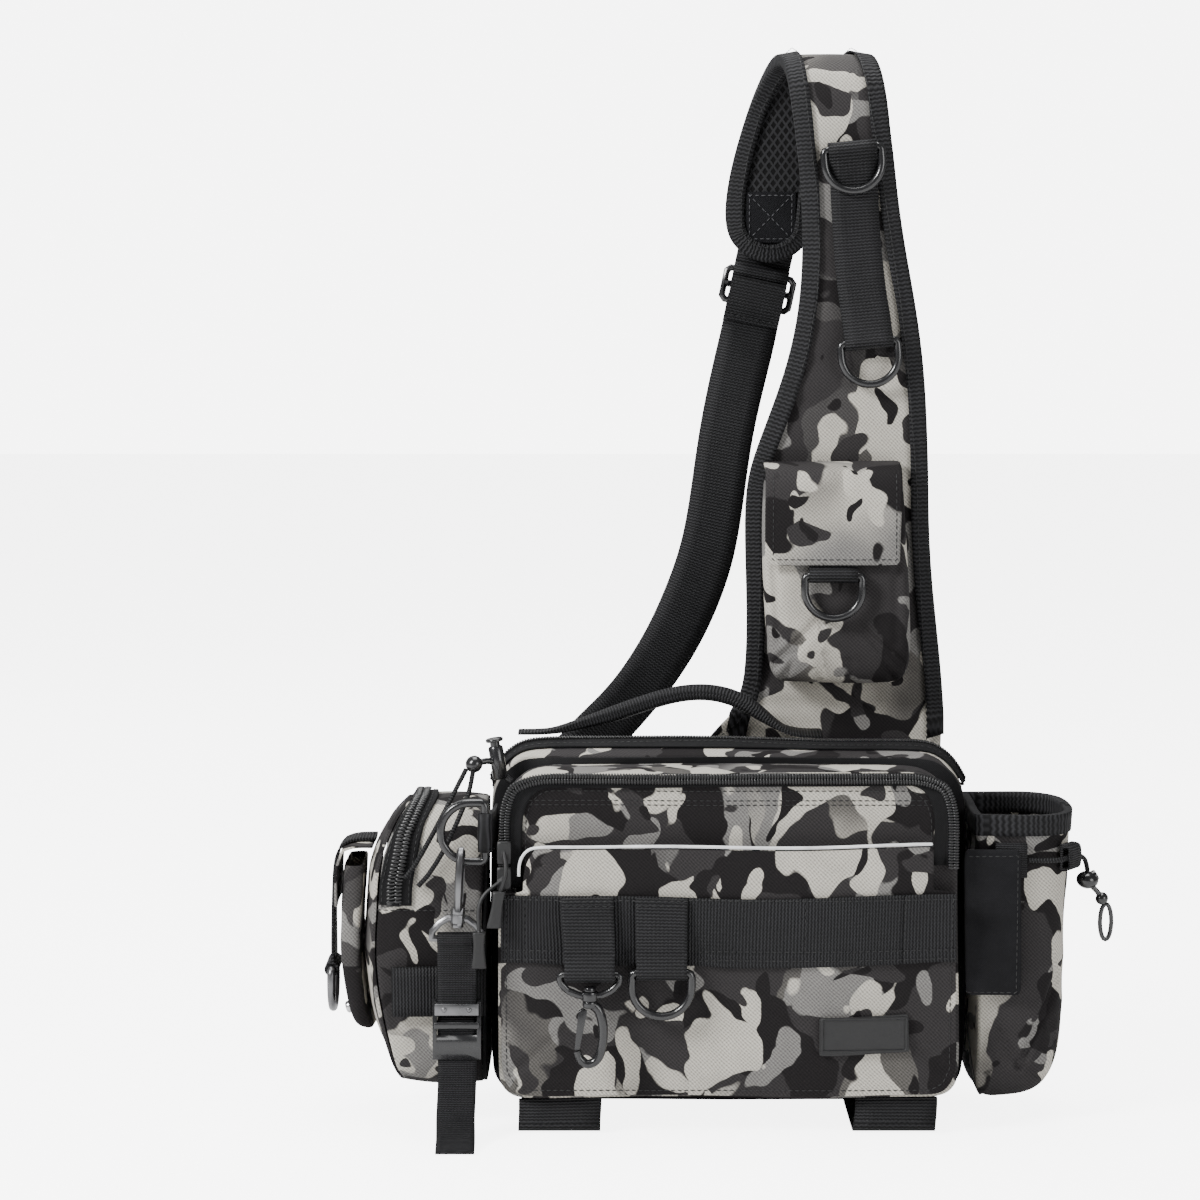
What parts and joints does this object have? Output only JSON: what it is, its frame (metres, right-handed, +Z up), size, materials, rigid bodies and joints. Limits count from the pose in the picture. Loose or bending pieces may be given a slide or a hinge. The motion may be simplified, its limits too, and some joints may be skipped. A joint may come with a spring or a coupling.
{
  "type": "fishing sling bag",
  "caption": "Camouflage fishing sling bag: main and front compartments, zipped side pouch, bottle pocket with drawcord, D-rings, snap hooks, padded shoulder strap with a small pouch.",
  "frame": {"origin": "the top of the shoulder strap's bend, on its inner side, where the bag hangs on a shoulder or a hand", "axes": "+Z up, +X to the right as seen from the front, +Y to the back, so the front compartment faces -Y"},
  "size_m": [0.4179, 0.2071, 0.569],
  "materials": {
    "mesh": "black spacer mesh",
    "camouflage": "matt woven polyester with a printed camouflage in greys and khaki",
    "dark_cloth": "matt black woven lining and back cloth",
    "zip": "black nylon coil zip on woven tape",
    "reflective": "grey retroreflective piping",
    "webbing": "ribbed black polypropylene webbing with a slight sheen",
    "rubber": "matt black moulded rubber with a raised border",
    "plastic": "black moulded acetal, satin",
    "gunmetal": "dark nickel plate, satin",
    "neoprene": "matt black neoprene with a knitted face"
  },
  "bodies": {
    "bag": {"back_panel": "mesh", "main_gusset": "camouflage", "main_front_wall": "dark_cloth", "main_zip": "zip", "front_gusset": "camouflage", "front_panel": "camouflage", "front_zip": "zip", "front_patch_pocket": "camouflage", "reflective_piping": "reflective", "molle_band": "webbing", "hook_loop": "webbing", "ring_loop": "webbing", "rubber_patch": "rubber", "foot_strap_left": "webbing", "foot_strap_right": "webbing", "carry_handle": "webbing", "left_pouch_wall": "dark_cloth", "left_pouch_gusset": "camouflage", "left_pouch_panel": "camouflage", "left_pouch_zip": "zip", "side_pocket": "camouflage", "side_pocket_flap": "camouflage", "side_flap_strap": "webbing", "side_tab": "webbing", "bottle_pocket": "camouflage", "bottle_rim": "webbing", "bottle_tab": "neoprene", "cord_anchor": "webbing", "cord_guide": "webbing", "drawcord": "webbing", "drawcord_lock": "plastic", "shoulder_pad": "camouflage", "shoulder_binding": "webbing", "strap_webbing": "webbing", "strap_pouch": "camouflage", "strap_pouch_flap": "camouflage", "strap_pouch_loop": "webbing", "tri_glide": "plastic", "short_webbing": "webbing", "long_webbing": "webbing", "corner_loop": "webbing", "corner_ring": "plastic", "side_hook": "gunmetal", "side_webbing": "webbing", "cam_buckle": "plastic", "side_tail": "webbing", "rod_cord_lock": "plastic", "rod_cord_end_left": "webbing", "rod_cord_end_right": "webbing", "front_pull_upper": "rubber", "front_pull_lower": "rubber"},
    "front_ring": {"front_ring": "plastic"},
    "front_hook_eye": {"front_hook_eye": "plastic"},
    "front_hook": {"front_hook": "plastic"},
    "front_hook_gate": {"front_hook_gate": "plastic"},
    "side_ring": {"side_ring": "gunmetal"},
    "strap_ring_upper": {"strap_ring_upper": "plastic"},
    "strap_ring_lower": {"strap_ring_lower": "plastic"},
    "strap_pouch_ring": {"strap_pouch_ring": "plastic"}
  },
  "joints": [
    {"name": "front_ring_hinge", "type": "hinge", "parent": "bag", "child": "front_ring", "pos_m": [-0.09, -0.14769, -0.4717], "axis": [-1, 0, 0], "range_deg": [0, 150]},
    {"name": "front_hook_eye_hinge", "type": "hinge", "parent": "bag", "child": "front_hook_eye", "pos_m": [-0.127, -0.15213, -0.4717], "axis": [-1, 0, 0], "range_deg": [0, 120]},
    {"name": "front_hook_swivel", "type": "hinge", "parent": "front_hook_eye", "child": "front_hook", "pos_m": [-0.127, -0.15213, -0.4827], "axis": [0, 0, 1], "continuous": true},
    {"name": "front_hook_gate_hinge", "type": "hinge", "parent": "front_hook", "child": "front_hook_gate", "pos_m": [-0.1304, -0.15213, -0.4914], "axis": [0, -1, 0], "range_deg": [0, 18], "stiffness_Nm_per_rad": 0.05, "springref_deg": -22.92},
    {"name": "side_ring_hinge", "type": "hinge", "parent": "bag", "child": "side_ring", "pos_m": [-0.2644, -0.083, -0.4817], "axis": [0, 1, 0], "range_deg": [0, 150]},
    {"name": "strap_ring_upper_hinge", "type": "hinge", "parent": "bag", "child": "strap_ring_upper", "pos_m": [0.01341, -0.0377, -0.04693], "axis": [-0.9956, 0, -0.0941], "range_deg": [0, 150]},
    {"name": "strap_ring_lower_hinge", "type": "hinge", "parent": "bag", "child": "strap_ring_lower", "pos_m": [0.02319, -0.0377, -0.15047], "axis": [-0.9956, 0, -0.0941], "range_deg": [0, 150]},
    {"name": "strap_pouch_ring_hinge", "type": "hinge", "parent": "bag", "child": "strap_pouch_ring", "pos_m": [0.0033, -0.0628, -0.2747], "axis": [-1, 0, 0], "range_deg": [0, 150]}
  ]
}
